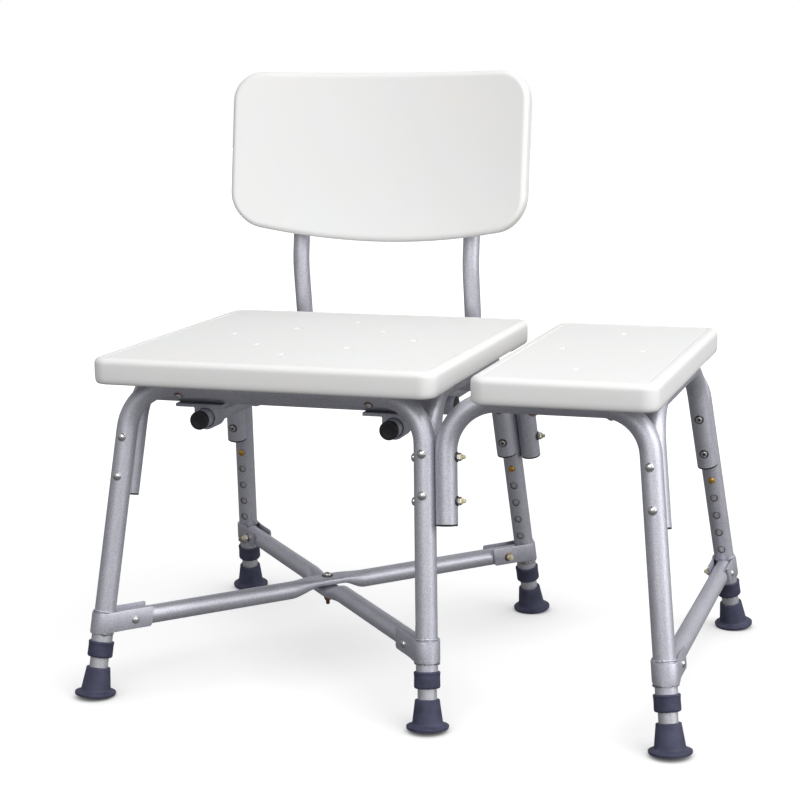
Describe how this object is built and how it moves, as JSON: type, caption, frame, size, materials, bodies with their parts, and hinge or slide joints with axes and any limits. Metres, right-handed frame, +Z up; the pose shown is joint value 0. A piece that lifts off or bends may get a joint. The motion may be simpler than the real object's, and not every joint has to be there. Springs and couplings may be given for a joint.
{
  "type": "bath transfer bench",
  "caption": "Wide bath bench: main seat and extension seat on bent tube frames, telescopic legs with snap buttons and rubber feet, crossed braces, slide-in backrest.",
  "frame": {"origin": "on the floor, under the centre of the bounding box", "axes": "+Z up, -Y is the side that a person sits down from, +X towards the extension seat that stands in the bath"},
  "size_m": [0.8388, 0.6314, 0.8267],
  "materials": {
    "anodised_tube": "satin clear anodised, fine grain",
    "zinc_steel": "bright zinc plate",
    "gold_button": "yellow passivated, smooth",
    "navy_rubber": "moulded, matt",
    "black_plug": "moulded, matt",
    "white_plastic": "blow-moulded, fine pebble grain"
  },
  "bodies": {
    "frame": {"crossing_bolt": "zinc_steel", "extension_brace": "anodised_tube", "extension_front_frame": "anodised_tube", "extension_rear_frame": "anodised_tube", "extension_seat": "white_plastic", "extension_side_frame": "anodised_tube", "front_crossbar": "anodised_tube", "front_extension_bracket": "anodised_tube", "front_extension_collar": "navy_rubber", "front_joining_bolt_lower": "zinc_steel", "front_joining_bolt_upper": "zinc_steel", "front_left_bracket": "anodised_tube", "front_left_collar": "navy_rubber", "front_left_saddle": "anodised_tube", "front_right_bracket": "anodised_tube", "front_right_collar": "navy_rubber", "front_right_saddle": "anodised_tube", "left_side_frame": "anodised_tube", "lower_cross_brace": "anodised_tube", "main_front_frame": "anodised_tube", "main_rear_frame": "anodised_tube", "main_seat": "white_plastic", "rear_crossbar": "anodised_tube", "rear_extension_bracket": "anodised_tube", "rear_extension_collar": "navy_rubber", "rear_joining_bolt_lower": "zinc_steel", "rear_joining_bolt_upper": "zinc_steel", "rear_left_bracket": "anodised_tube", "rear_left_collar": "navy_rubber", "rear_left_saddle": "anodised_tube", "rear_right_bracket": "anodised_tube", "rear_right_collar": "navy_rubber", "rear_right_saddle": "anodised_tube", "right_side_frame": "anodised_tube", "upper_cross_brace": "anodised_tube"},
    "backrest": {"left_back_tube": "anodised_tube", "right_back_tube": "anodised_tube", "left_back_tube_plug": "black_plug", "right_back_tube_plug": "black_plug", "back_panel": "white_plastic"},
    "front_left_leg": {"front_left_leg_tube": "anodised_tube", "front_left_foot": "navy_rubber"},
    "front_left_button": {"front_left_snap_button": "gold_button"},
    "front_right_leg": {"front_right_leg_tube": "anodised_tube", "front_right_foot": "navy_rubber"},
    "front_right_button": {"front_right_snap_button": "gold_button"},
    "front_extension_leg": {"front_extension_leg_tube": "anodised_tube", "front_extension_foot": "navy_rubber"},
    "front_extension_button": {"front_extension_snap_button": "gold_button"},
    "rear_left_leg": {"rear_left_leg_tube": "anodised_tube", "rear_left_foot": "navy_rubber"},
    "rear_left_button": {"rear_left_snap_button": "gold_button"},
    "rear_right_leg": {"rear_right_leg_tube": "anodised_tube", "rear_right_foot": "navy_rubber"},
    "rear_right_button": {"rear_right_snap_button": "gold_button"},
    "rear_extension_leg": {"rear_extension_leg_tube": "anodised_tube", "rear_extension_foot": "navy_rubber"},
    "rear_extension_button": {"rear_extension_snap_button": "gold_button"}
  },
  "joints": [
    {"name": "front_left_leg_slide", "type": "slide", "parent": "frame", "child": "front_left_leg", "axis": [-0.0683, -0.2088, -0.9756], "range_m": [0, 0.112], "deforming": ["front_left_snap_button"]},
    {"name": "front_left_button_press", "type": "slide", "parent": "front_left_leg", "child": "front_left_button", "axis": [0.0146, -0.978, 0.2083], "range_m": [0, 0.005], "stiffness_N_per_m": 800, "springref_m": -0.002},
    {"name": "front_right_leg_slide", "type": "slide", "parent": "frame", "child": "front_right_leg", "axis": [0.0683, -0.2088, -0.9756], "range_m": [0, 0.112], "deforming": ["front_right_snap_button"]},
    {"name": "front_right_button_press", "type": "slide", "parent": "front_right_leg", "child": "front_right_button", "axis": [-0.0146, -0.978, 0.2083], "range_m": [0, 0.005], "stiffness_N_per_m": 800, "springref_m": -0.002},
    {"name": "front_extension_leg_slide", "type": "slide", "parent": "frame", "child": "front_extension_leg", "axis": [0.1175, -0.2078, -0.9711], "range_m": [0, 0.112], "deforming": ["front_extension_snap_button"]},
    {"name": "front_extension_button_press", "type": "slide", "parent": "front_extension_leg", "child": "front_extension_button", "axis": [-0.025, -0.9782, 0.2063], "range_m": [0, 0.005], "stiffness_N_per_m": 800, "springref_m": -0.002},
    {"name": "rear_left_leg_slide", "type": "slide", "parent": "frame", "child": "rear_left_leg", "axis": [-0.0683, 0.2088, -0.9756], "range_m": [0, 0.112], "deforming": ["rear_left_snap_button"]},
    {"name": "rear_left_button_press", "type": "slide", "parent": "rear_left_leg", "child": "rear_left_button", "axis": [0.0146, 0.978, 0.2083], "range_m": [0, 0.005], "stiffness_N_per_m": 800, "springref_m": -0.002},
    {"name": "rear_right_leg_slide", "type": "slide", "parent": "frame", "child": "rear_right_leg", "axis": [0.0683, 0.2088, -0.9756], "range_m": [0, 0.112], "deforming": ["rear_right_snap_button"]},
    {"name": "rear_right_button_press", "type": "slide", "parent": "rear_right_leg", "child": "rear_right_button", "axis": [-0.0146, 0.978, 0.2083], "range_m": [0, 0.005], "stiffness_N_per_m": 800, "springref_m": -0.002},
    {"name": "rear_extension_leg_slide", "type": "slide", "parent": "frame", "child": "rear_extension_leg", "axis": [0.1175, 0.2078, -0.9711], "range_m": [0, 0.112], "deforming": ["rear_extension_snap_button"]},
    {"name": "rear_extension_button_press", "type": "slide", "parent": "rear_extension_leg", "child": "rear_extension_button", "axis": [-0.025, 0.9782, 0.2063], "range_m": [0, 0.005], "stiffness_N_per_m": 800, "springref_m": -0.002},
    {"name": "backrest_slide", "type": "slide", "parent": "frame", "child": "backrest", "axis": [0, 1, 0], "range_m": [0, 0.18]}
  ]
}
